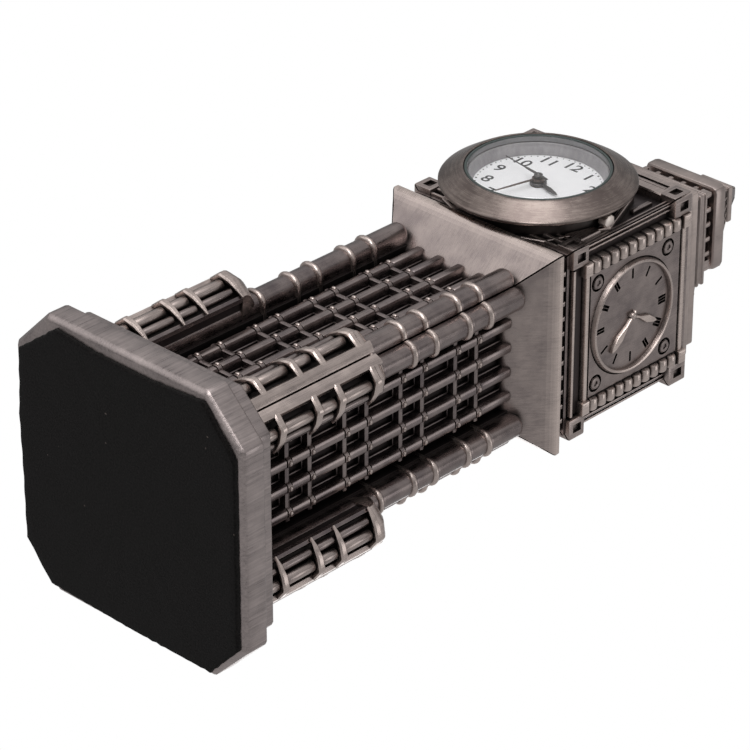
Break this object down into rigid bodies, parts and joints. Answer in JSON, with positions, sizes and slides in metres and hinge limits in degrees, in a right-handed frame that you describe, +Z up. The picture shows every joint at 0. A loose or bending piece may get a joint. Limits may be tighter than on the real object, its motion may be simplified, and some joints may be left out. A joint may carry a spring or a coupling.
{
  "type": "miniature clock tower",
  "caption": "Cast-metal souvenir clock tower on an octagonal felted plinth, with a push-fit quartz watch in its front and cast dials on its other sides.",
  "frame": {"origin": "middle of the felt face that the tower stands on", "axes": "+Z up along the tower, -Y out of the watch, +X to the right of someone facing the watch"},
  "size_m": [0.055, 0.055, 0.1602],
  "materials": {
    "felt": "black flocked felt",
    "brushed_pewter": null,
    "dark_pewter": "zinc alloy, blackened gunmetal plating worn bright on its edges",
    "antique_pewter": "zinc alloy, antique pewter plating",
    "zinc_steel": "zinc-plated steel",
    "black_rubber": "matt black rubber",
    "grey_gasket": "grey-green nylon gasket",
    "crystal_glass": "clear mineral glass",
    "grey_ring": "grey satin ring",
    "white_dial": "white printed brass disc",
    "ivory_plastic": "ivory acetal",
    "movement_brass": "machined brass",
    "coil_wire": null,
    "cell_steel": "stainless steel",
    "dark_hand": "dark grey lacquered hand",
    "brown_hand": "brown lacquered hand"
  },
  "bodies": {
    "tower": {"felt_pad": "felt", "base_plinth": "brushed_pewter", "front_wall": "dark_pewter", "right_wall": "dark_pewter", "back_wall": "dark_pewter", "left_wall": "dark_pewter", "roof_casting": "antique_pewter", "lantern_gallery": "dark_pewter", "spire_cap": "antique_pewter", "tie_rod": "zinc_steel", "tie_rod_nut": "zinc_steel", "tie_rod_washer": "zinc_steel"},
    "watch": {"watch_case": "dark_pewter", "grip_ring": "black_rubber", "bezel": "brushed_pewter", "crystal_gasket": "grey_gasket", "crystal": "crystal_glass", "reflector_ring": "grey_ring", "dial": "white_dial", "movement_ring": "ivory_plastic", "movement_plate": "movement_brass", "drive_coil": "coil_wire", "battery": "cell_steel", "battery_clip": "cell_steel", "back_gasket": "black_rubber", "case_back": "cell_steel"},
    "hour": {"hour_hand": "dark_hand", "hour_wheel": "movement_brass"},
    "minute": {"minute_hand": "dark_hand", "cannon_pinion": "movement_brass"},
    "second": {"second_hand": "brown_hand", "second_arbor": "cell_steel"},
    "setting": {"setting_lever": "cell_steel"},
    "crown": {"winding_stem": "cell_steel", "crown": "brushed_pewter"}
  },
  "joints": [
    {"name": "watch_pull", "type": "slide", "parent": "tower", "child": "watch", "axis": [0, -1, 0], "range_m": [0, 0.01]},
    {"name": "second_turn", "type": "hinge", "parent": "watch", "child": "second", "pos_m": [0, -0.0233, 0.1032], "axis": [0, 1, 0], "continuous": true},
    {"name": "minute_turn", "type": "hinge", "parent": "watch", "child": "minute", "pos_m": [0, -0.0228, 0.1032], "axis": [0, 1, 0], "continuous": true},
    {"name": "hour_turn", "type": "hinge", "parent": "watch", "child": "hour", "pos_m": [0, -0.0222, 0.1032], "axis": [0, 1, 0], "continuous": true},
    {"name": "crown_pull", "type": "slide", "parent": "watch", "child": "setting", "axis": [1, 0, 0], "range_m": [0, 0.0008]},
    {"name": "crown_turn", "type": "hinge", "parent": "setting", "child": "crown", "pos_m": [0.016, -0.02, 0.1032], "axis": [1, 0, 0], "continuous": true}
  ],
  "couplings": [
    {"joint": "minute_turn", "follows": "second_turn", "ratio": 0.016667},
    {"joint": "hour_turn", "follows": "second_turn", "ratio": 0.0013889}
  ]
}
